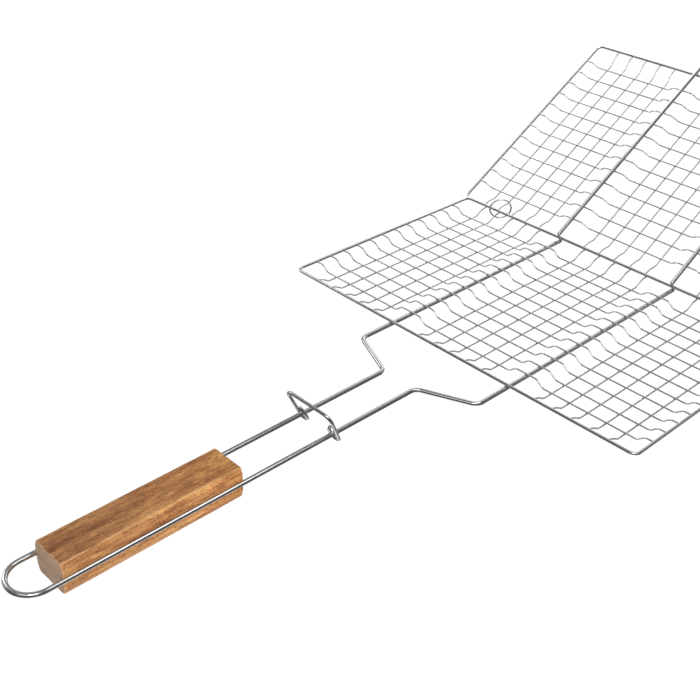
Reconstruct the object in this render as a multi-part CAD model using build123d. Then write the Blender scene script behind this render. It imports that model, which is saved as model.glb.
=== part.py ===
from build123d import *
import math
import os

# Hand-held grill basket: a lower wire basket on a long wire handle with a
# wooden grip, a matching lid standing open on two hinge rings, and a sliding
# bail latch on the handle.
# Millimetres, +Z up, X across the basket, +Y from the grip to the hinge.
# Everything is drawn in a working frame (y = 0 at the near rim wire, z = 0 at
# the lower rim wire's centre) and moved once, on export, so that the origin
# lies at the centre of the grip's flat underside.

# ---------------------------------------------------------------- dimensions
# rim, the same on basket and lid
RIM_HALF_W = 173.0        # half width, wire centre to wire centre
RIM_DEPTH = 222.0         # near rim wire to hinge rim wire
RIM_WIRE_D = 2.4
RIM_CORNER_R = 5.5

# mesh
MESH_WIRE_D = 1.3
MESH_BEND_R = 6.5
DISH_DEPTH = 5.0
WELD_MESH = 0.05          # how far crossed mesh wires sink into each other
CROSS_PITCH_Y = 16.0      # cross wires, front to back
N_CROSS = 12
CROSS_END_SINK = 0.35     # cross wire ends run this far into the rim wire
CROSS_FLAT_RIM = 7.5      # flat margin of a cross wire, from the rim wire's centre
CROSS_FLAT_RIB = 10.0     # flat margin of a cross wire each side of a rib
CROSS_SLOPE_RUN = 6.0
LONG_PITCH_X = 16.4       # long wires, side to side
N_LONG_PER_BAY = 5
LONG_END_Y = 0.9          # long wire ends, from the rim wire's centre
LONG_FLAT_RIM = 6.0
LONG_SLOPE_RUN = 8.5
LONG_END_BEND_R = 20.0
BASE_LONG_END_Z = -1.2    # the lower basket's long wires rise to this at the rim

# handle wire (the two ribs under the basket are its front ends)
ROD_D = 3.5
BEND_R = 8.0
RIB_X = 60.0              # rib centre, each side of the middle
RIB_OVERRUN = 0.6         # ribs run past the hinge rim wire's centre
WELD_ROD = 0.10           # rib sunk into the rim wire
HANDLE_OUT_Y = -32.5      # outer bend
HANDLE_IN_Y = -52.0       # inner bend
HANDLE_IN_X = 16.0        # half spacing of the two handle wires
HANDLE_END_Y = -359.0     # centre of the hanging loop's half circle

# grip
GRIP_Y0 = -348.0
GRIP_Y1 = -213.6
GRIP_TOP_Z = 8.7
GRIP_SHOULDER_Z = 3.6
GRIP_HIP_Z = -10.5
GRIP_BOTTOM_Z = -16.3
GRIP_TOP_HALF = 13.7
GRIP_MAX_HALF = 15.5
GRIP_BOTTOM_HALF = 13.4
GRIP_EDGE_R = 1.6
GRIP_BOTTOM_EDGE_R = 2.6
GRIP_END_R = 1.0
GROOVE_D = 3.44           # side groove, a push fit on the handle rod
GROOVE_CUTTER_LENGTH = 200.0  # longer than the grip

# latch
LATCH_WIRE_D = 2.5
LATCH_Y = -134.0          # where the latch crosses the handle wires
LATCH_LEAN_DEG = 25.0     # leans back towards the grip
LATCH_RISE = 23.8         # top bar from the handle wires, along the lean
LATCH_DROP = 6.0          # bottom of the hooks below the handle wires
LATCH_TOP_HALF = 22.7     # legs splay from the hooks out to the top bar
LATCH_OUT_X = 19.9        # outer leg at the hook
LATCH_IN_X = 12.5         # inner leg, between the handle wires
LATCH_CURL_RISE = 2.0     # the inner leg turns out over the handle wire here
LATCH_END_X = 15.6
LATCH_END_RISE = 8.0
LATCH_TOP_R = 6.5
LATCH_HOOK_R = 3.6
LATCH_CURL_R = 4.0

# hinge rings
RING_D = 21.5             # outer diameter
RING_WIRE_D = 1.5
RING_DX = 0.3             # ring centre inwards from the long wire it straddles
RING_DY = 0.5             # ring centre beyond the hinge rim wire
RING_Z = 3.0
RING_YAW_DEG = 43.3       # left ring's normal, swung from +X towards -Y
RING_PITCH_DEG = -6.7

# lid
LID_OPEN_DEG = 29.7       # lid plane above horizontal, beyond the hinge
LID_OPEN_DY = -3.6        # lid hinge wire from the lower hinge wire, lid open
LID_OPEN_DZ = 2.4
LID_RIB_START = 0.4       # lid ribs begin here, from the lid's hinge wire
TONGUE_HALF = 8.5         # half spacing of the two tongue wires
TONGUE_OUT = 28.0         # outer bend, past the lid's front rim
TONGUE_IN = 52.0          # inner bend
TONGUE_END = 95.0         # centre of the end loop's half circle

# ------------------------------------------------------------------- derived
rim_r = RIM_WIRE_D / 2
mesh_r = MESH_WIRE_D / 2
rod_r = ROD_D / 2
rib_drop = rim_r + rod_r - WELD_ROD                   # rib centre from rim centre
cross_offset = rib_drop - rod_r - mesh_r + WELD_MESH  # cross wires, towards the ribs
long_step = MESH_WIRE_D - WELD_MESH                   # long wires under the cross wires
bay_x = (RIM_HALF_W + RIB_X) / 2                      # middle of a side bay
grip_mid_y = (GRIP_Y0 + GRIP_Y1) / 2


# ------------------------------------------------------------------- helpers
def centred(count, pitch):
    """Evenly pitched places, centred on zero."""
    return [(i - (count - 1) / 2) * pitch for i in range(count)]


def bent_wire(points, radius):
    """Open centre line through the points with every corner rounded. radius
    is one value, or a list with one per corner."""
    points = [Vector(*point) for point in points]
    radii = radius if isinstance(radius, list) else [radius] * (len(points) - 2)
    curves = []
    start = points[0]
    for before, corner, after, bend_r in zip(points, points[1:], points[2:], radii):
        back = (before - corner).normalized()
        ahead = (after - corner).normalized()
        half_angle = math.acos(back.dot(ahead)) / 2
        setback = bend_r / math.tan(half_angle)
        arc_start = corner + back * setback
        arc_end = corner + ahead * setback
        to_middle = bend_r / math.sin(half_angle) - bend_r
        arc_middle = corner + (back + ahead).normalized() * to_middle
        curves.append(Line(start, arc_start))
        curves.append(ThreePointArc(arc_start, arc_middle, arc_end))
        start = arc_end
    curves.append(Line(start, points[-1]))
    return Wire([edge for curve in curves for edge in curve.edges()])


def rod(path, radius):
    """Round wire swept along a centre line."""
    start = Plane(origin=path @ 0, z_dir=path % 0)
    solid = sweep(start * Circle(radius), path=path).solid()
    # a sweep can come out inside out: repair it, or failing that flip its faces
    if solid.volume < 0:
        solid = solid.fix()
    if solid.volume < 0:
        solid = Solid(Shell([-face for face in solid.faces()]))
    return Part(solid.wrapped)


def grouped(shapes):
    """Several separate solids kept together in one part."""
    return Compound(children=[Solid(shape.solid().wrapped) for shape in shapes])


# ------------------------------------------- wires shared by basket and lid
def rim_ring():
    """Closed rim wire, swept as two halves so the seam never falls on a bend."""
    left, right = [
        bent_wire([(0, 0, 0), (x, 0, 0), (x, RIM_DEPTH, 0), (0, RIM_DEPTH, 0)], RIM_CORNER_R)
        for x in (-RIM_HALF_W, RIM_HALF_W)
    ]
    return rod(left, rim_r) + rod(right, rim_r)


def cross_wire(y, margin_z):
    """One mesh wire across the three bays: level at the rim and at both ribs,
    dished between them."""
    dish_z = margin_z - DISH_DEPTH
    rim_flat_x = RIM_HALF_W - CROSS_FLAT_RIM
    rib_outer_x = RIB_X + CROSS_FLAT_RIB
    rib_inner_x = RIB_X - CROSS_FLAT_RIB
    # (x, z) from the rim inwards
    half = [
        (RIM_HALF_W - rim_r + CROSS_END_SINK, margin_z),
        (rim_flat_x, margin_z),
        (rim_flat_x - CROSS_SLOPE_RUN, dish_z),
        (rib_outer_x + CROSS_SLOPE_RUN, dish_z),
        (rib_outer_x, margin_z),
        (rib_inner_x, margin_z),
        (rib_inner_x - CROSS_SLOPE_RUN, dish_z),
    ]
    points = [(-x, y, z) for x, z in half] + [(x, y, z) for x, z in reversed(half)]
    return rod(bent_wire(points, MESH_BEND_R), mesh_r)


def long_wire(x, margin_z, end_z):
    """One mesh wire from rim wire to rim wire along Y, dished between them."""
    # (distance in from the rim wire, z)
    half = [
        (LONG_END_Y, end_z),
        (LONG_FLAT_RIM, margin_z),
        (LONG_FLAT_RIM + LONG_SLOPE_RUN, margin_z - DISH_DEPTH),
    ]
    points = [(x, y, z) for y, z in half] + [(x, RIM_DEPTH - y, z) for y, z in reversed(half)]
    radii = [LONG_END_BEND_R, MESH_BEND_R, MESH_BEND_R, LONG_END_BEND_R]
    return rod(bent_wire(points, radii), mesh_r)


def basket_wires(prefix, cross_z, long_end_z):
    """Rim, cross wires and three bays of long wires, by part name."""
    wires = {f"{prefix}_frame": rim_ring()}
    for number, y in enumerate(centred(N_CROSS, CROSS_PITCH_Y), start=1):
        wires[f"{prefix}_cross_wire_{number:02d}"] = cross_wire(RIM_DEPTH / 2 + y, cross_z)
    for bay, middle_x in (("left", -bay_x), ("middle", 0.0), ("right", bay_x)):
        wires[f"{prefix}_long_wires_{bay}"] = grouped([
            long_wire(middle_x + x, cross_z - long_step, long_end_z)
            for x in centred(N_LONG_PER_BAY, LONG_PITCH_X)
        ])
    return wires


def ribs_and_loop(rib_end_y, outer_y, inner_y, loop_y, neck_half, z):
    """One rod: the left rib, in to a narrow neck, round a half circle centred
    at loop_y, and back out to the right rib."""
    half = [(RIB_X, rib_end_y), (RIB_X, outer_y), (neck_half, inner_y), (neck_half, loop_y)]
    left = bent_wire([(-x, y, z) for x, y in half], BEND_R)
    tip_y = loop_y + math.copysign(neck_half, loop_y - inner_y)
    loop = ThreePointArc((-neck_half, loop_y, z), (0, tip_y, z), (neck_half, loop_y, z))
    right = bent_wire([(x, y, z) for x, y in reversed(half)], BEND_R)
    return rod(Wire([*left.edges(), *loop.edges(), *right.edges()]), rod_r)


# -------------------------------------------------------------------- pieces
def handle_wire():
    """Ribs under the basket, handle and hanging loop in one rod."""
    return ribs_and_loop(
        rib_end_y=RIM_DEPTH + RIB_OVERRUN,
        outer_y=HANDLE_OUT_Y,
        inner_y=HANDLE_IN_Y,
        loop_y=HANDLE_END_Y,
        neck_half=HANDLE_IN_X,
        z=-rib_drop,
    )


def wood_grip():
    """Eight-sided bar with rounded edges, grooved each side for the handle."""
    # (half width, z) from the underside up
    profile = [
        (GRIP_BOTTOM_HALF, GRIP_BOTTOM_Z),
        (GRIP_MAX_HALF, GRIP_HIP_Z),
        (GRIP_MAX_HALF, GRIP_SHOULDER_Z),
        (GRIP_TOP_HALF, GRIP_TOP_Z),
    ]
    outline = [(-x, z) for x, z in profile] + [(x, z) for x, z in reversed(profile)]
    section = make_face(Polyline(*outline, close=True))
    # the section's Y is the grip's Z; round the bottom corners, then the rest
    section = fillet(section.vertices().sort_by(Axis.Y)[:2], GRIP_BOTTOM_EDGE_R)
    upper_corners = section.vertices().filter_by(
        lambda v: v.Y > GRIP_HIP_Z + 2 or abs(v.Y - GRIP_HIP_Z) < 0.01)
    section = fillet(upper_corners, GRIP_EDGE_R)

    end_plane = Plane(origin=(0, GRIP_Y0, 0), x_dir=(-1, 0, 0), z_dir=(0, 1, 0))
    grip = extrude(end_plane * section, amount=GRIP_Y1 - GRIP_Y0)
    ends = grip.faces().sort_by(Axis.Y)
    grip = fillet(ends[0].edges() + ends[-1].edges(), GRIP_END_R)
    cutter = Rot(90, 0, 0) * Cylinder(GROOVE_D / 2, GROOVE_CUTTER_LENGTH)
    for side in (-1, 1):
        grip -= Pos(side * HANDLE_IN_X, grip_mid_y, -rib_drop) * cutter
    return grip


def latch_bail():
    """Leaning bail whose legs hook under the handle wires and curl back up."""
    # right half, top down: (x, rise along the lean from the handle wires)
    half = [
        (LATCH_TOP_HALF, LATCH_RISE),
        (LATCH_OUT_X, -LATCH_DROP),
        (LATCH_IN_X, -LATCH_DROP),
        (LATCH_IN_X, LATCH_CURL_RISE),
        (LATCH_END_X, LATCH_END_RISE),
    ]
    flat_path = [(-x, rise) for x, rise in reversed(half)] + half
    lean = math.radians(LATCH_LEAN_DEG)
    points = [
        (x, LATCH_Y - rise * math.sin(lean), -rib_drop + rise * math.cos(lean))
        for x, rise in flat_path
    ]
    radii = [LATCH_CURL_R, LATCH_HOOK_R, LATCH_HOOK_R, LATCH_TOP_R]
    return rod(bent_wire(points, radii + radii[::-1]), LATCH_WIRE_D / 2)


def hinge_ring(side):
    """Ring round a side bay's long wire; side is -1 for left, 1 for right."""
    yaw = math.radians(RING_YAW_DEG)
    pitch = math.radians(RING_PITCH_DEG)
    normal = (
        -side * math.cos(yaw) * math.cos(pitch),
        -math.sin(yaw) * math.cos(pitch),
        math.sin(pitch),
    )
    centre = (side * (bay_x + LONG_PITCH_X - RING_DX), RIM_DEPTH + RING_DY, RING_Z)
    return Plane(origin=centre, z_dir=normal) * Torus((RING_D - RING_WIRE_D) / 2, RING_WIRE_D / 2)


def open_lid():
    """All lid parts, drawn with +Y from the hinge wire to the front rim and
    +Z to the food side, then swung to the open position."""
    lid = basket_wires("lid", cross_z=cross_offset, long_end_z=cross_offset - long_step)
    lid["lid_tongue_wire"] = ribs_and_loop(
        rib_end_y=LID_RIB_START,
        outer_y=RIM_DEPTH + TONGUE_OUT,
        inner_y=RIM_DEPTH + TONGUE_IN,
        loop_y=RIM_DEPTH + TONGUE_END,
        neck_half=TONGUE_HALF,
        z=rib_drop,
    )
    place = Pos(0, RIM_DEPTH + LID_OPEN_DY, LID_OPEN_DZ) * Rot(LID_OPEN_DEG, 0, 0)
    return {name: place * shape for name, shape in lid.items()}


# -------------------------------------------------------------------- export
parts = {
    **basket_wires("base", cross_z=-cross_offset, long_end_z=BASE_LONG_END_Z),
    "handle_wire": handle_wire(),
    "wood_grip": wood_grip(),
    "latch_bail": latch_bail(),
    "hinge_ring_left": hinge_ring(-1),
    "hinge_ring_right": hinge_ring(1),
    **open_lid(),
}

to_grip_underside = Pos(0, -grip_mid_y, -GRIP_BOTTOM_Z)
os.makedirs("parts", exist_ok=True)
for name, shape in parts.items():
    solids = (to_grip_underside * shape).solids()
    part = solids[0] if len(solids) == 1 else Compound(children=list(solids))
    part.label = name
    export_step(part, f"parts/{name}.step")
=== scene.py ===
# A hinged wire basket, lid open, with a bent-rod handle and a wooden grip.
# x runs across, left is -x. y runs from the grip (near) through the basket to the
# hinge and the open lid (far). z is up, and the basket lies on the floor.
import math

import bpy
import numpy as np
from mathutils import Matrix, Vector


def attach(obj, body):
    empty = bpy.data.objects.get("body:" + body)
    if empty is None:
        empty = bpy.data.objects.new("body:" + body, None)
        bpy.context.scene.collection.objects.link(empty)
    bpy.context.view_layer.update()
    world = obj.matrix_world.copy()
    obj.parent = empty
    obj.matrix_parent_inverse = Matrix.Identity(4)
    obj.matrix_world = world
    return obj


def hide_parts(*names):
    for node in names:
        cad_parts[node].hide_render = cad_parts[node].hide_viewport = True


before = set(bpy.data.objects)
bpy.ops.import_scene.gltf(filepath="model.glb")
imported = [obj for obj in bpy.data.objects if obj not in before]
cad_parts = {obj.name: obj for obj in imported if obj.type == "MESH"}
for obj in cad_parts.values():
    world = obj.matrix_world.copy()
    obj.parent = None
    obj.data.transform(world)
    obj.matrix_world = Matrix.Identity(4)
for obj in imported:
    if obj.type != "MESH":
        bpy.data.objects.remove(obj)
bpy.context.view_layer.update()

# ------------------------------------------------------------------ dimensions
# Working frame in mm: y = 0 at the near rim wire, z = 0 at the lower rim wire.
SHIFT = np.array([0.0, 280.8, 16.3])    # working frame to scene frame

RIM_HALF_W, RIM_DEPTH = 173.0, 222.0
RIM_R, RIM_CORNER_R = 1.2, 5.5

ROD_R = 1.75
ROD_X = 60.0                            # rods under the basket, either side of the middle
ROD_Z = -2.85                           # rod centre; mirrored to +z in the lid frame
ROD_BEND_R = 8.0
HANDLE_HALF_W, HANDLE_END_Y = 16.0, -359.0
TONGUE_HALF_W = 8.5

MESH_R = 0.65
MESH_BEND_R = 6.5
DISH = 5.0                              # depth of the mesh below its margins
CROSS_Z = -0.5                          # margin height; mirrored to +z in the lid frame
LONG_STEP = 1.25                        # long wires lie this far below the cross wires
PITCH_X, PITCH_Y = 16.4, 16.0
BAY_X = (RIM_HALF_W + ROD_X) / 2        # outer bays, midway between rod and rim

LID_OPEN = math.radians(29.7)
LID_AT = np.array([0.0, 218.4, 2.4])    # origin of the lid frame

UP, DOWN = (0.0, 0.0, 1.0), (0.0, 0.0, -1.0)
MIRROR_X = np.array([-1, 1, 1])


def to_scene(points):
    """Working frame (mm) to scene frame (m)."""
    return (np.asarray(points, float) + SHIFT) / 1000.0


def turn_with_lid(vectors):
    """Directions in the lid frame, turned by the opening angle about x."""
    vectors = np.asarray(vectors, float)
    c, s = math.cos(LID_OPEN), math.sin(LID_OPEN)
    x, y, z = vectors[..., 0], vectors[..., 1], vectors[..., 2]
    return np.stack([x, y * c - z * s, y * s + z * c], -1)


def from_lid(points):
    """Lid frame (mm) to working frame (mm)."""
    return turn_with_lid(points) + LID_AT


# ---------------------------------------------------------------- centre lines
def unit(vector):
    return vector / np.linalg.norm(vector)


def corner_arc(before, corner, after, radius, step_count):
    """Points of the arc that rounds a corner; step_count(degrees) gives its steps."""
    to_before, to_after = unit(before - corner), unit(after - corner)
    half = math.acos(float(to_before @ to_after)) / 2
    cut_back = radius / math.tan(half)
    centre = corner + unit(to_before + to_after) * (radius / math.sin(half))
    start, end = corner + to_before * cut_back, corner + to_after * cut_back
    sweep = math.pi - 2 * half
    steps = step_count(math.degrees(sweep))
    axis_a = unit(start - centre)
    axis_b = unit((end - centre) - axis_a * float((end - centre) @ axis_a))
    return [centre + radius * (axis_a * math.cos(sweep * k / steps)
                               + axis_b * math.sin(sweep * k / steps))
            for k in range(steps + 1)]


def bent(points, radii, closed=False, step_deg=7.0):
    """Centre line through the points, each corner rounded. radii: one for all
    corners, or a list with one for each."""
    points = [np.array(p, float) for p in points]
    n = len(points)
    corners = range(n) if closed else range(1, n - 1)
    if not isinstance(radii, list):
        radii = [radii] * len(corners)
    line = []
    for radius, i in zip(radii, corners):
        line += corner_arc(points[i - 1], points[i], points[(i + 1) % n], radius,
                           lambda degrees: max(2, int(math.ceil(degrees / step_deg))))
    if not closed:
        line = [points[0]] + line + [points[-1]]
    return np.array(line)


def hairpin(left_leg, z, end_angle, steps):
    """Two mirrored bent legs joined by a half turn. left_leg: (x, y) corners,
    the last one where the turn begins. end_angle: where the turn ends."""
    leg = bent([(x, y, z) for x, y in left_leg], ROD_BEND_R, step_deg=3.0)
    end_x, end_y = left_leg[-1]
    angles = [math.pi + (end_angle - math.pi) * k / steps for k in range(1, steps)]
    turn = [(-end_x * math.cos(a), end_y - end_x * math.sin(a), z) for a in angles]
    return np.vstack([leg, turn, (leg * MIRROR_X)[::-1]])


def at_length(path, lengths, s):
    """Point on the path at arc length s."""
    i = int(np.clip(np.searchsorted(lengths, s) - 1, 0, len(path) - 2))
    f = (s - lengths[i]) / (lengths[i + 1] - lengths[i])
    return path[i] * (1 - f) + path[i + 1] * f


def nearest_length(path, lengths, point):
    """Arc length of the place on the path nearest to the point."""
    best_gap, best_length = 1e18, 0.0
    for i in range(len(path) - 1):
        step = path[i + 1] - path[i]
        f = float(np.clip(((point - path[i]) @ step) / float(step @ step), 0, 1))
        gap = float(np.linalg.norm(point - (path[i] + f * step)))
        if gap < best_gap:
            best_gap = gap
            best_length = lengths[i] + f * (lengths[i + 1] - lengths[i])
    return best_length


# ----------------------------------------------------------------- mesh makers
def ring_lengths(lengths, bumps, closed, chamfer, flare):
    """Arc lengths where a tube has a ring: its path points, plus extra ones at
    welds and ends, thinned so that they do not crowd."""
    total = lengths[-1]
    marks = list(lengths)
    for at, _, _, reach in bumps:
        marks += [at + k * reach for k in (-2.0, -1.2, -0.6, 0.0, 0.6, 1.2, 2.0)]
    if not closed:
        from_end = [chamfer] + ([0.6, 1.2, 2.0] if flare else [])
        marks += from_end + [total - e for e in from_end]
    marks = sorted(m for m in marks if 0 <= m <= total)
    path_marks = set(np.round(lengths, 6))
    kept = [marks[0]]
    for m in marks[1:]:
        if m - kept[-1] > 0.12:
            kept.append(m)
        elif round(m, 6) in path_marks and round(kept[-1], 6) not in path_marks:
            kept[-1] = m
    if not closed:
        kept[-1] = total
    elif total - kept[-1] < 1e-6:
        kept.pop()
    return np.array(kept)


def tube(path, radius, sides, up, welds=(), closed=False, chamfer=0.3, flare=0.0):
    """Round wire along a centre line, as (vertices, faces). welds: (point,
    towards, swell, reach along the wire) where a spot weld spreads the wire.
    Ends are chamfered, or widened by flare where they are welded on."""
    path = np.asarray(path, float)
    if closed:
        path = np.vstack([path, path[:1]])
    steps = np.linalg.norm(np.diff(path, axis=0), axis=1)
    lengths = np.concatenate([[0.0], np.cumsum(steps)])
    total = lengths[-1]
    bumps = [(nearest_length(path, lengths, np.asarray(point, float)),
              unit(np.asarray(towards, float)), swell, reach)
             for point, towards, swell, reach in welds]
    stations = ring_lengths(lengths, bumps, closed, chamfer, flare)
    centres = np.array([at_length(path, lengths, s) for s in stations])

    step_in = centres - np.roll(centres, 1, 0)
    step_out = np.roll(centres, -1, 0) - centres
    tangents = np.array([unit(a) + unit(b) for a, b in zip(step_in, step_out)])
    if not closed:
        tangents[0], tangents[-1] = step_out[0], step_in[-1]
    tangents = tangents / np.linalg.norm(tangents, axis=1)[:, None]

    angles = np.arange(sides) * 2 * math.pi / sides
    normal = np.asarray(up, float)
    rings = []
    for s, centre, tangent in zip(stations, centres, tangents):
        normal = unit(normal - tangent * float(normal @ tangent))
        directions = (np.outer(np.cos(angles), normal)
                      + np.outer(np.sin(angles), np.cross(tangent, normal)))
        radii = np.full(sides, radius)
        for at, towards, swell, reach in bumps:
            gap = abs(s - at)
            if closed:
                gap = min(gap, total - gap)
            strength = math.exp(-(gap / reach) ** 2)
            if strength > 1e-3:
                facing = directions @ towards
                radii = radii + swell * strength * (np.maximum(0.0, facing) ** 2
                                                    + 0.35 * (1 - facing ** 2))
        if not closed:
            from_end = min(s, total - s)
            if flare:
                radii = radii + flare * math.exp(-(from_end / 0.9) ** 2)
            elif from_end < chamfer * 0.5:
                radii = radii * 0.80
        rings.append(centre + directions * radii[:, None])

    verts = np.vstack(rings)
    faces = []
    n = len(rings)
    for i in range(n if closed else n - 1):
        j = (i + 1) % n
        for k in range(sides):
            q = (k + 1) % sides
            faces.append((i * sides + k, i * sides + q, j * sides + q, j * sides + k))
    if not closed:
        verts = np.vstack([verts, centres[0], centres[-1]])
        first, last = n * sides, n * sides + 1
        for k in range(sides):
            q = (k + 1) % sides
            faces.append((first, q, k))
            faces.append((last, (n - 1) * sides + k, (n - 1) * sides + q))
    return verts, faces


def leaf_tube(lid, path, radius, sides, up, welds, **options):
    """A tube of the base or, carried from the lid frame into place, of the lid."""
    if lid:
        path, up = from_lid(path), turn_with_lid(up)
        welds = [(from_lid(point), turn_with_lid(towards), swell, reach)
                 for point, towards, swell, reach in welds]
    return tube(path, radius, sides, up, welds, **options)


def rod_welds(z, towards, swell, reach):
    """The four welds where the two rods cross the near and far rim wires."""
    return [((side * ROD_X, y, z), towards, swell, reach)
            for side in (-1, 1) for y in (0.0, RIM_DEPTH)]


def add_object(name, data):
    obj = bpy.data.objects.new(name, data)
    bpy.context.scene.collection.objects.link(obj)
    return obj


def piece(name, shells, material, body, cad_node, edge=None, sharp_deg=38.0):
    """Joins (vertices, faces) shells into an object that stands for a CAD node.
    edge: how strongly each vertex takes the pale arris band, partly wear and partly painted
    highlight, 0 to 1."""
    verts, faces, count = [], [], 0
    for shell_verts, shell_faces in shells:
        verts.append(shell_verts)
        faces += [tuple(count + k for k in face) for face in shell_faces]
        count += len(shell_verts)
    mesh = bpy.data.meshes.new(name)
    mesh.from_pydata([tuple(v) for v in to_scene(np.vstack(verts))], [], faces)
    mesh.validate(clean_customdata=False)
    mesh.polygons.foreach_set("use_smooth", [True] * len(mesh.polygons))
    attribute = mesh.attributes.new("edge", "FLOAT", "POINT")
    edge = np.zeros(count) if edge is None else edge
    attribute.data.foreach_set("value", np.array(edge, np.float32))
    mesh.update()
    mesh.set_sharp_from_angle(angle=math.radians(sharp_deg))
    mesh.materials.append(material)
    obj = add_object(name, mesh)
    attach(obj, body)
    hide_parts(cad_node)


# ---------------------------------------------------------------- shader nodes
WHITE = (1, 1, 1)


def node(tree, kind, inputs, **settings):
    """New shader node. inputs: socket name or index to a value or a socket to link."""
    new = tree.nodes.new("ShaderNode" + kind)
    for key, value in settings.items():
        setattr(new, key, value)
    for key, value in inputs.items():
        socket = new.inputs[key]
        if isinstance(value, bpy.types.NodeSocket):
            tree.links.new(value, socket)
        elif socket.type == "RGBA":
            socket.default_value = (*value, 1)
        else:
            socket.default_value = value
    return new


def emptied_tree(owner):
    owner.use_nodes = True
    owner.node_tree.nodes.clear()
    return owner.node_tree


def object_coords(tree):
    return node(tree, "TexCoord", {}).outputs["Object"]


def noise(tree, coords, scale=1.0, detail=4.0, roughness=0.55, stretch=(1, 1, 1),
          distortion=0.0):
    mapping = node(tree, "Mapping", {"Scale": stretch, "Vector": coords})
    return node(tree, "TexNoise", {
        "Scale": scale, "Detail": detail, "Roughness": roughness,
        "Distortion": distortion, "Vector": mapping.outputs["Vector"]}).outputs["Fac"]


def ramp(tree, factor, stops):
    """Colour ramp; stops: (position, colour)."""
    new = node(tree, "ValToRGB", {"Fac": factor})
    elements = new.color_ramp.elements
    elements.remove(elements[-1])
    elements[0].position = stops[0][0]
    elements[0].color = (*stops[0][1], 1)
    for position, colour in stops[1:]:
        elements.new(position).color = (*colour, 1)
    return new.outputs["Color"]


def mix(tree, factor, a, b, mode="MIX"):
    return node(tree, "Mix", {0: factor, 6: a, 7: b}, data_type="RGBA",
                blend_type=mode).outputs[2]


def multiply(tree, factor, a, b):
    return mix(tree, factor, a, b, "MULTIPLY")


def math_node(tree, operation, *values):
    return node(tree, "Math", dict(enumerate(values)), operation=operation).outputs[0]


def map_range(tree, value, low=0.0, high=1.0, to_low=0.0, to_high=1.0, **settings):
    return node(tree, "MapRange", {
        "Value": value, "From Min": low, "From Max": high,
        "To Min": to_low, "To Max": to_high}, **settings).outputs["Result"]


def axis_of(tree, vector, axis):
    return node(tree, "SeparateXYZ", {0: vector}).outputs[axis]


def bump(tree, height, strength, distance):
    return node(tree, "Bump", {"Height": height, "Strength": strength,
                               "Distance": distance}).outputs["Normal"]


def principled(tree, inputs):
    surface = node(tree, "BsdfPrincipled", inputs).outputs["BSDF"]
    node(tree, "OutputMaterial", {"Surface": surface})


# ------------------------------------------------------------------- materials
def plating(name, grey, polish, cloud_scale):
    """Bright plated wire: faint cloudy variation in tint, fine scuffs, and darker
    spots. polish: lowest and highest roughness."""
    material = bpy.data.materials.new(name)
    tree = emptied_tree(material)
    coords = object_coords(tree)
    tint = (grey, grey, grey + 0.005)
    scuffs = noise(tree, coords, scale=1900.0, detail=3.0, roughness=0.7)
    clouded = ramp(tree, noise(tree, coords, scale=cloud_scale, detail=5.0), [
        (0.30, tuple(c * 0.80 for c in tint)),
        (0.62, tint),
        (0.80, tuple(c * 1.10 for c in tint))])
    spots = ramp(tree, noise(tree, coords, scale=620.0, detail=2.0, roughness=0.5),
                 [(0.30, (0.62, 0.60, 0.58)), (0.40, WHITE)])
    principled(tree, {
        "Base Color": multiply(tree, 0.22, clouded, spots),
        "Metallic": 1.0,
        "Roughness": map_range(tree, scuffs, low=0.3, high=0.7,
                               to_low=polish[0], to_high=polish[1]),
        "Normal": bump(tree, scuffs, strength=0.05, distance=0.00002)})
    return material


# Colour ramps of the grip: (position, colour)
WOOD_BASE = [(0.34, (0.270, 0.105, 0.038)), (0.50, (0.385, 0.175, 0.062)),
             (0.66, (0.490, 0.250, 0.092))]
WOOD_BANDS = [(0.10, (0.70, 0.60, 0.52)), (0.55, WHITE), (0.95, (1.12, 1.14, 1.12))]
WOOD_STREAKS = [(0.34, (0.52, 0.40, 0.32)), (0.50, WHITE), (0.66, (1.30, 1.36, 1.24))]
WOOD_PORES = [(0.36, (0.48, 0.38, 0.32)), (0.48, WHITE), (0.64, (1.18, 1.16, 1.10))]
WOOD_ALONG = [(0.0, (0.75, 0.72, 0.72)), (0.30, (0.84, 0.83, 0.83)),
              (0.65, (0.94, 0.94, 0.92)), (1.0, (1.10, 1.12, 1.00))]
WOOD_END = [(0.35, (0.270, 0.170, 0.120)), (0.62, (0.430, 0.300, 0.225))]
WOOD_END_BANDS = [(0.1, (0.72, 0.66, 0.62)), (0.6, WHITE)]
# The next two give how patchy the pale arris band is and its colour. The band is partly rubbed
# wear and partly a painted highlight of light catching the rounded edges.
WOOD_WEAR_AND_HIGHLIGHT_PATCHES = [(0.38, (0.08, 0.08, 0.08)), (0.62, (0.60, 0.60, 0.60))]
WOOD_WORN_AND_HIGHLIGHT = (0.56, 0.34, 0.14)


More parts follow.
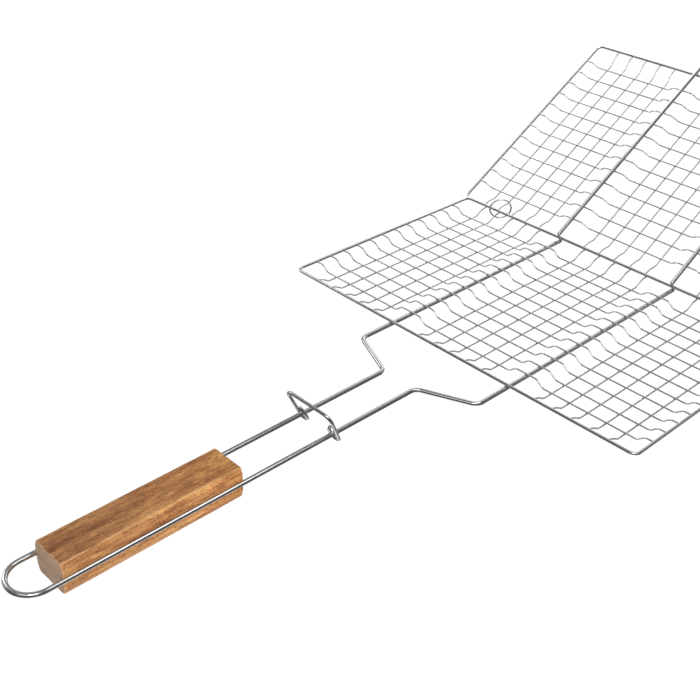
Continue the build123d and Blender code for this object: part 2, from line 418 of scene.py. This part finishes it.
def grip_wood(name):
    """Oiled red-brown hardwood, grain along the grip."""
    material = bpy.data.materials.new(name)
    tree = emptied_tree(material)
    coords = object_coords(tree)

    # growth bands: wavy rings about an axis off to one side of the grip
    ring_space = node(tree, "Mapping", {
        "Location": (0.031, 0.0, 0.052), "Rotation": (0.03, 0.0, 0.045),
        "Scale": (1.0, 0.10, 1.0), "Vector": coords}).outputs["Vector"]
    bands = node(tree, "TexWave", {
        "Scale": 95.0, "Distortion": 3.2, "Detail": 3.0, "Detail Scale": 1.4,
        "Vector": ring_space}, wave_type="RINGS", rings_direction="Y").outputs["Fac"]
    streaks = noise(tree, coords, detail=7.0, roughness=0.70,
                    stretch=(520.0, 85.0, 520.0), distortion=0.6)
    broad = noise(tree, coords, roughness=0.6, stretch=(110.0, 22.0, 110.0), distortion=0.6)
    pores = noise(tree, coords, detail=3.0, roughness=0.6, stretch=(1500.0, 520.0, 1500.0))
    colour = ramp(tree, broad, WOOD_BASE)
    colour = multiply(tree, 0.42, colour, ramp(tree, bands, WOOD_BANDS))
    colour = multiply(tree, 0.85, colour, ramp(tree, streaks, WOOD_STREAKS))
    colour = multiply(tree, 0.8, colour, ramp(tree, pores, WOOD_PORES))

    # darker towards the free, near end
    along = map_range(tree, axis_of(tree, coords, "Y"), low=-0.067, high=0.067)
    colour = multiply(tree, 1.0, colour, ramp(tree, along, WOOD_ALONG))

    # pinkish end grain where the surface faces along y
    normal = node(tree, "NewGeometry", {}).outputs["Normal"]
    facing_y = math_node(tree, "ABSOLUTE", axis_of(tree, normal, "Y"))
    on_end = map_range(tree, facing_y, low=0.55, high=0.92)
    specks = noise(tree, coords, roughness=0.7, stretch=(900.0, 900.0, 1500.0))
    end_colour = multiply(tree, 0.45, ramp(tree, specks, WOOD_END),
                          ramp(tree, bands, WOOD_END_BANDS))
    colour = mix(tree, on_end, colour, end_colour)

    # arrises paler, in patches: partly rubbed wear, partly a painted highlight of light
    # catching the rounded edges
    arris = node(tree, "Attribute", {}, attribute_name="edge").outputs["Fac"]
    patches = noise(tree, coords, detail=3.0, roughness=0.6, stretch=(300.0, 60.0, 300.0))
    wear_and_highlight = math_node(tree, "MULTIPLY", arris, ramp(tree, patches, WOOD_WEAR_AND_HIGHLIGHT_PATCHES))
    principled(tree, {
        "Base Color": mix(tree, wear_and_highlight, colour, WOOD_WORN_AND_HIGHLIGHT),
        "Roughness": map_range(tree, streaks, to_low=0.42, to_high=0.62),
        "Specular IOR Level": 0.35,
        "Normal": bump(tree, mix(tree, 0.5, streaks, pores),
                       strength=0.35, distance=0.00012)})
    return material


MESH_PLATING = plating("mesh_wire_plating", grey=0.72, polish=(0.20, 0.34), cloud_scale=60.0)
RIM_PLATING = plating("rim_wire_plating", grey=0.66, polish=(0.16, 0.28), cloud_scale=50.0)
ROD_PLATING = plating("handle_rod_plating", grey=0.62, polish=(0.14, 0.26), cloud_scale=40.0)
LATCH_PLATING = plating("latch_wire_plating", grey=0.58, polish=(0.15, 0.26), cloud_scale=70.0)
RING_PLATING = plating("ring_wire_plating", grey=0.80, polish=(0.15, 0.26), cloud_scale=90.0)
GRIP_WOOD = grip_wood("grip_hardwood")

# --------------------------------------------------------------- base and lid
CROSS_YS = [RIM_DEPTH / 2 + (j - 5.5) * PITCH_Y for j in range(12)]
BAYS = {"left": -BAY_X, "middle": 0.0, "right": BAY_X}
OFFSETS = [(i - 2) * PITCH_X for i in range(5)]     # long wires within a bay
SLOPE_RUN = 6.0                         # x length of a cross wire's slope into the dish
LEDGE_HALF = 10.0                       # half the level stretch over a rod
MARGIN_W = 7.5                          # from the rim wire's side to the first slope
WELD_REACH, WIRE_FLARE, WIRE_SIDES = 0.75, 0.28, 12


def cross_path(y, margin):
    """Wire along x: level at the rim and over the rods, dished in the bays."""
    low = margin - DISH
    slope_top = RIM_HALF_W - MARGIN_W
    ledge_out, ledge_in = ROD_X + LEDGE_HALF, ROD_X - LEDGE_HALF
    half = [(RIM_HALF_W - RIM_R + 0.35, margin), (slope_top, margin),
            (slope_top - SLOPE_RUN, low), (ledge_out + SLOPE_RUN, low),
            (ledge_out, margin), (ledge_in, margin), (ledge_in - SLOPE_RUN, low)]
    return bent([(-x, y, z) for x, z in half] + [(x, y, z) for x, z in reversed(half)],
                MESH_BEND_R)


def long_path(x, margin, end_z):
    """Wire along y: its ends at the near and far rim wires, dished between."""
    half = [(0.9, end_z), (6.0, margin), (14.5, margin - DISH)]
    return bent([(x, y, z) for y, z in half]
                + [(x, RIM_DEPTH - y, z) for y, z in reversed(half)],
                [20.0, MESH_BEND_R, MESH_BEND_R, 20.0], step_deg=6.0)


def build_leaf(part, lid):
    """Rim wire, cross wires and long wires of the base or the lid."""
    cross_z = -CROSS_Z if lid else CROSS_Z
    long_z = cross_z - LONG_STEP
    rod_side = UP if lid else DOWN      # the side of the mesh the rods lie on

    w, d = RIM_HALF_W, RIM_DEPTH
    loop = bent([(-w, 0, 0), (w, 0, 0), (w, d, 0), (-w, d, 0)],
                RIM_CORNER_R, closed=True, step_deg=6.0)
    rim = leaf_tube(lid, loop, RIM_R, 18, UP, rod_welds(0, rod_side, swell=0.10, reach=1.4),
                    closed=True)
    piece(part + "_frame_wire", [rim], RIM_PLATING, part, part + "_frame")

    for j, y in enumerate(CROSS_YS):
        welds = [((bay_x + offset, y, cross_z - DISH), DOWN, 0.20, WELD_REACH)
                 for bay_x in BAYS.values() for offset in OFFSETS]
        welds += [((side * ROD_X, y, cross_z), rod_side, 0.22, 1.0) for side in (-1, 1)]
        wire = leaf_tube(lid, cross_path(y, cross_z), MESH_R, WIRE_SIDES, UP, welds,
                         flare=WIRE_FLARE)
        cad_node = f"{part}_cross_wire_{j + 1:02d}"
        piece(cad_node + "_swept", [wire], MESH_PLATING, part, cad_node)

    for bay, bay_x in BAYS.items():
        wires = []
        for x in [bay_x + offset for offset in OFFSETS]:
            welds = [((x, y, long_z - DISH), UP, 0.16, WELD_REACH) for y in CROSS_YS]
            path = long_path(x, long_z, end_z=long_z if lid else -1.2)
            wires.append(leaf_tube(lid, path, MESH_R, WIRE_SIDES, (1.0, 0, 0), welds,
                                   flare=WIRE_FLARE))
        cad_node = f"{part}_long_wires_{bay}"
        piece(cad_node + "_swept", wires, MESH_PLATING, part, cad_node)


build_leaf("base", lid=False)
build_leaf("lid", lid=True)


# ---------------------------------------------------- handle rod and lid tongue
def build_handle_rod():
    """Runs under the base, narrows and turns round beyond the grip's near end."""
    path = hairpin([(-ROD_X, RIM_DEPTH + 0.6), (-ROD_X, -32.5),
                    (-HANDLE_HALF_W, -52.0), (-HANDLE_HALF_W, HANDLE_END_Y)],
                   ROD_Z, end_angle=2 * math.pi, steps=40)
    rod = tube(path, ROD_R, 24, UP, rod_welds(ROD_Z, UP, swell=0.14, reach=1.8),
               chamfer=0.45)
    piece("handle_rod_bent", [rod], ROD_PLATING, "base", "handle_wire")


def build_lid_tongue():
    """Runs over the lid and narrows to a short loop past its far rim."""
    path = hairpin([(-ROD_X, 0.4), (-ROD_X, RIM_DEPTH + 28.0),
                    (-TONGUE_HALF_W, RIM_DEPTH + 52.0), (-TONGUE_HALF_W, RIM_DEPTH + 95.0)],
                   -ROD_Z, end_angle=0.0, steps=30)
    rod = leaf_tube(True, path, ROD_R, 24, UP,
                    rod_welds(-ROD_Z, DOWN, swell=0.14, reach=1.8), chamfer=0.45)
    piece("lid_tongue_bent", [rod], ROD_PLATING, "lid", "lid_tongue_wire")


build_handle_rod()
build_lid_tongue()

# ------------------------------------------------------------------- the latch
LATCH_Y = -134.0
LATCH_LEAN = math.radians(25.0)         # from upright, towards the grip
# Right half of the bail, top corner to wire end: (x, height along the lean from
# the rod's centre). The wire passes under the handle rod and up inside it.
BAIL = [(22.7, 23.8), (19.9, -6.0), (12.5, -6.0), (12.5, 2.0), (15.6, 8.0)]
BAIL_BEND_R = [6.5, 3.6, 3.6, 4.0]      # at each corner but the wire end


def build_latch():
    c, s = math.cos(LATCH_LEAN), math.sin(LATCH_LEAN)
    flat = [(-x, h) for x, h in reversed(BAIL)] + BAIL
    path = bent([(x, LATCH_Y - h * s, ROD_Z + h * c) for x, h in flat],
                BAIL_BEND_R[::-1] + BAIL_BEND_R, step_deg=6.0)
    wire = tube(path, 1.25, 20, (0, -c, -s), chamfer=0.35)
    piece("latch_bail_bent", [wire], LATCH_PLATING, "latch", "latch_bail")


build_latch()

# ---------------------------------------------------------------- hinge rings
RING_R, RING_WIRE_R = 10.0, 0.75
RING_X = BAY_X + PITCH_X - 0.3
RING_YAW, RING_PITCH = math.radians(43.3), math.radians(-6.7)
RING_START = math.radians(250.0)        # where the two wire ends butt
RING_HALF_GAP = 0.0125                  # radians, for a hairline gap there


def build_hinge_ring(side, name):
    level = math.cos(RING_PITCH)
    axis = np.array([-side * math.cos(RING_YAW) * level, -math.sin(RING_YAW) * level,
                     math.sin(RING_PITCH)])
    centre = np.array([side * RING_X, RIM_DEPTH + 0.5, 3.0])
    axis_a = unit(np.cross(axis, UP))
    axis_b = np.cross(axis, axis_a)
    angles = np.linspace(RING_START + RING_HALF_GAP,
                         RING_START + 2 * math.pi - RING_HALF_GAP, 91)
    path = [centre + RING_R * (axis_a * math.cos(a) + axis_b * math.sin(a)) for a in angles]
    wire = tube(path, RING_WIRE_R, 14, axis, chamfer=0.12)
    piece(f"hinge_ring_{name}_bent", [wire], RING_PLATING, f"ring_{name}",
          f"hinge_ring_{name}")


build_hinge_ring(-1, "left")
build_hinge_ring(1, "right")

# ------------------------------------------------------------------------ grip
GRIP_NEAR_Y, GRIP_FAR_Y = -348.0, -213.6
GRIP_END_R = 1.0                        # rounding of the end edges
GRIP_SIDE_X, GRIP_BOTTOM_Z, GRIP_TOP_Z = 15.5, -16.3, 8.7
# Right half of the section from bottom middle to top middle: (x, z)
GRIP_CORNERS = [(0, GRIP_BOTTOM_Z), (13.4, GRIP_BOTTOM_Z), (GRIP_SIDE_X, -10.5),
                (GRIP_SIDE_X, 3.6), (13.7, GRIP_TOP_Z), (0, GRIP_TOP_Z)]
GRIP_CORNER_R = [2.6, 1.6, 1.6, 1.6]
# Softened lip of the rod groove: (inset from the side, distance past the groove, pull)
GROOVE_LIP = [(0.02, 0.22, 0.6), (0.09, 0.02, 0.2)]


def grip_half_section():
    """Right half of the section, bottom middle to top middle, with the groove for
    the handle rod. Rows: x, z, pull (share of the end rounding), edge (pale arris band: wear
    and painted highlight)."""
    rows = [(0.0, GRIP_BOTTOM_Z, 1.0, 0.0)]

    def line_to(end, steps):
        start = np.array(rows[-1][:2])
        for k in range(1, steps + 1):
            x, z = start + (end - start) * k / steps
            rows.append((x, z, 1.0, 0.0))

    def add_groove():
        inset = GRIP_SIDE_X - HANDLE_HALF_W
        half_mouth = math.sqrt(ROD_R ** 2 - inset ** 2)
        line_to(np.array([GRIP_SIDE_X, ROD_Z - half_mouth - 0.45]), 5)
        for inward, past, pull in GROOVE_LIP:
            rows.append((GRIP_SIDE_X - inward, ROD_Z - half_mouth - past, pull, 0.5))
        first = math.atan2(-half_mouth, inset)
        last = -first - 2 * math.pi
        for k in range(1, 16):
            angle = first + (last - first) * k / 16
            rows.append((HANDLE_HALF_W + ROD_R * math.cos(angle),
                         ROD_Z + ROD_R * math.sin(angle), 0.0, 0.0))
        for inward, past, pull in reversed(GROOVE_LIP):
            rows.append((GRIP_SIDE_X - inward, ROD_Z + half_mouth + past, pull, 0.5))

    corners = [np.array(c, float) for c in GRIP_CORNERS]
    for i, radius in enumerate(GRIP_CORNER_R, start=1):
        arc = corner_arc(corners[i - 1], corners[i], corners[i + 1], radius,
                         lambda degrees: max(4, int(degrees / 9)))
        if i == 3:                      # the upright side ends at this corner
            add_groove()
        line_to(arc[0], 7 if i == 1 else 4)
        for k, (x, z) in enumerate(arc[1:], start=1):
            # the blunt lower side corner gets little of the pale band of wear and painted
            # highlight
            pale_arris = k < len(arc) - 1 and i != 2
            rows.append((x, z, 1.0, 1.0 if pale_arris else 0.35))
    line_to(corners[-1], 7)
    return np.array(rows)


def build_grip():
    half = grip_half_section()
    section = np.vstack([half, half[1:-1][::-1] * np.array([-1, 1, 1, 1])])
    xz, pull, edge = section[:, :2], section[:, 2], section[:, 3]
    along = np.roll(xz, -1, 0) - np.roll(xz, 1, 0)
    outward = np.stack([along[:, 1], -along[:, 0]], 1)
    outward /= np.linalg.norm(outward, axis=1)[:, None]
    angle = np.arctan2(xz[:, 1] + 3.8, xz[:, 0])    # about the section's centre
    unsanded = (pull < 0.9) | (xz[:, 1] < -15.9)    # groove and underside

    # stations along the grip: (y, how far the end rounding draws the section in)
    near = [(GRIP_NEAR_Y + GRIP_END_R * (1 - math.sin(a)), GRIP_END_R * (1 - math.cos(a)))
            for a in np.radians([90, 72, 54, 36, 18, 0])]
    middle = np.linspace(GRIP_NEAR_Y + GRIP_END_R, GRIP_FAR_Y - GRIP_END_R, 46)[1:-1]
    stations = (near + [(y, 0.0) for y in middle]
                + [(GRIP_FAR_Y - (y - GRIP_NEAR_Y), inset) for y, inset in reversed(near)])

    verts, edges = [], []
    for y, inset in stations:
        # the hand-sanded faces wander by about a tenth of a millimetre
        k = (y - GRIP_NEAR_Y) / (GRIP_FAR_Y - GRIP_NEAR_Y)
        fade = max(0.0, math.sin(math.pi * k)) ** 0.5
        waves = (np.sin(3.1 * 2 * math.pi * k + 2 * angle)
                 + 0.6 * np.sin(7.3 * 2 * math.pi * k + 3 * angle + 1.0))
        wander = np.where(unsanded, 0.0, 0.05 * fade * waves - 0.03 * fade)
        p = xz + outward * (wander - inset * pull)[:, None]
        verts.append(np.stack([p[:, 0], np.full(len(p), y), p[:, 1]], 1))
        # end roundings take the pale arris band too, partly wear and partly painted highlight
        on_rounding = edge * 0.8 + 0.6 * (pull > 0.5)
        edges.append(np.clip(on_rounding if inset > 0 else edge, 0, 1))

    count = len(xz)
    faces = []
    for i in range(len(stations) - 1):
        a, b = i * count, (i + 1) * count
        for k in range(count):
            q = (k + 1) % count
            faces.append((a + k, b + k, b + q, a + q))
    # end faces: strips across from the right half to its mirror on the left
    for base, order in ((0, 1), ((len(stations) - 1) * count, -1)):
        for k in range(len(half) - 1):
            strip = (k, k + 1, (count - k - 1) % count, (count - k) % count)
            faces.append(tuple(base + q for q in dict.fromkeys(strip))[::order])
    piece("wood_grip_shaped", [(np.vstack(verts), faces)], GRIP_WOOD, "base", "wood_grip",
          edge=np.concatenate(edges), sharp_deg=50.0)


build_grip()

# ----------------------------------------------------------------------- floor
FLOOR_HALF, FLOOR_CELLS = 6.0, 12       # metres, cells each way
FLOOR_MID_Y, FLOOR_Z = 0.3, -0.0004


def floor_paper():
    """Pale paper, almost pure white to the camera."""
    material = bpy.data.materials.new("floor_paper")
    tree = emptied_tree(material)
    mottle = ramp(tree, noise(tree, object_coords(tree), scale=3.0),
                  [(0.3, (0.90, 0.90, 0.90)), (0.7, (0.94, 0.94, 0.94))])
    paper = node(tree, "BsdfDiffuse", {"Color": mottle})
    glow = node(tree, "Emission", {"Color": WHITE, "Strength": 1.06})
    seen = node(tree, "LightPath", {}).outputs["Is Camera Ray"]
    mixed = node(tree, "MixShader", {
        "Fac": math_node(tree, "MULTIPLY", seen, 0.94),
        1: paper.outputs["BSDF"], 2: glow.outputs["Emission"]})
    node(tree, "OutputMaterial", {"Surface": mixed.outputs["Shader"]})
    return material


def build_floor():
    n = FLOOR_CELLS
    ticks = [-FLOOR_HALF + 2 * FLOOR_HALF * i / n for i in range(n + 1)]
    verts = [(x, y + FLOOR_MID_Y, FLOOR_Z) for y in ticks for x in ticks]
    corners = [j * (n + 1) + i for j in range(n) for i in range(n)]
    mesh = bpy.data.meshes.new("floor")
    mesh.from_pydata(verts, [], [(a, a + 1, a + n + 2, a + n + 1) for a in corners])
    floor = add_object("floor", mesh)
    mesh.materials.append(floor_paper())
    floor.visible_glossy = False


build_floor()

# ---------------------------------------------------------------------- camera
CAMERA_AT = (0.4692906, -0.2893718, 0.4877149)
CAMERA_AXES = [                         # its right, up and backward directions
    (0.6906980, 0.7225759, 0.0286411),
    (-0.4081425, 0.3568294, 0.8402931),
    (0.5969556, -0.5920784, 0.5413753)]


def build_camera():
    lens = bpy.data.cameras.new("camera")
    camera = add_object("camera", lens)
    lens.sensor_width = 36.0
    lens.lens = 58.315
    lens.clip_start, lens.clip_end = 0.01, 50.0
    pose = Matrix(CAMERA_AXES).transposed().to_4x4()
    pose.translation = Vector(CAMERA_AT)
    camera.matrix_world = pose
    bpy.context.scene.camera = camera


build_camera()

# ---------------------------------------------------------------------- lights
# name, location, target, size (m), watts, whether reflections show it
SOFTBOXES = [
    ("key_softbox", (0.95, -0.75, 1.35), (0.0, 0.25, 0.0), (0.9, 0.9), 10.0, True),
    ("side_fill", (1.5, -0.32, 0.45), (0.0, 0.0, 0.0), (0.8, 0.6), 19.0, False),
    ("grip_softbox", (0.36, 0.315, 0.62), (0.0, 0.315, 0.0), (0.36, 0.42), 1.3, True),
    ("left_strip", (-1.5, -0.2, 0.8), (0.0, 0.2, 0.0), (0.4, 1.2), 5.0, True),
    ("front_card", (0.16, -0.80, 0.72), (0.04, 0.24, 0.0), (0.40, 0.30), 0.75, True),
    # pale cards close to the far left corner, which wash out the wires there
    ("left_card", (-0.42, 0.70, 0.34), (-0.15, 0.70, 0.0), (0.42, 0.20), 0.36, True),
    ("far_card", (-0.26, 0.80, 0.30), (-0.17, 0.50, 0.02), (0.30, 0.20), 0.30, True),
    ("lid_card", (-0.13, 0.62, 0.47), (-0.13, 0.62, 0.0), (0.30, 0.30), 0.23, True),
]

for name, location, target, size, watts, reflected in SOFTBOXES:
    light = bpy.data.lights.new(name, "AREA")
    light.shape = "RECTANGLE"
    light.size, light.size_y = size
    light.energy = watts
    box = add_object(name, light)
    box.location = location
    box.rotation_mode = "QUATERNION"
    aim = Vector(target) - Vector(location)
    box.rotation_quaternion = aim.to_track_quat("-Z", "Y")
    box.visible_glossy = reflected
    box.visible_camera = False

# ----------------------------------------------------------------------- world
STUDIO_LEVEL = 0.13
# Brighter parts of the studio: axis, where the rise starts, where it is full, gain
STUDIO_GLOWS = [
    ("Z", 0.2, 1.0, 0.16),              # soft ceiling
    ("X", -0.50, -0.85, 0.30),          # left
    ("Y", 0.58, 0.92, 0.40),            # far side
    ("Z", -0.78, -0.94, 0.95),          # pale table straight below
]


def build_world():
    """A dim studio in reflections, even light on matt surfaces, and white to
    the camera."""
    world = bpy.data.worlds.new("studio")
    bpy.context.scene.world = world
    tree = emptied_tree(world)

    def background(colour, strength):
        return node(tree, "Background", {"Color": colour, "Strength": strength}).outputs[0]

    direction = node(tree, "TexCoord", {}).outputs["Generated"]
    axes = node(tree, "SeparateXYZ", {0: direction}).outputs
    studio = STUDIO_LEVEL
    for axis, start, full, gain in STUDIO_GLOWS:
        glow = map_range(tree, axes[axis], low=start, high=full, to_high=gain,
                         interpolation_type="SMOOTHSTEP")
        studio = math_node(tree, "ADD", studio, glow)
    rays = node(tree, "LightPath", {}).outputs
    lit = node(tree, "MixShader", {"Fac": rays["Is Diffuse Ray"],
                                   1: background(studio, 1.0), 2: background(WHITE, 0.46)})
    seen = node(tree, "MixShader", {"Fac": rays["Is Camera Ray"],
                                    1: lit.outputs[0], 2: background(WHITE, 1.05)})
    node(tree, "OutputWorld", {"Surface": seen.outputs[0]})


build_world()

bpy.context.scene.view_settings.view_transform = "Standard"
bpy.context.scene.view_settings.look = "None"

bpy.context.view_layer.update()
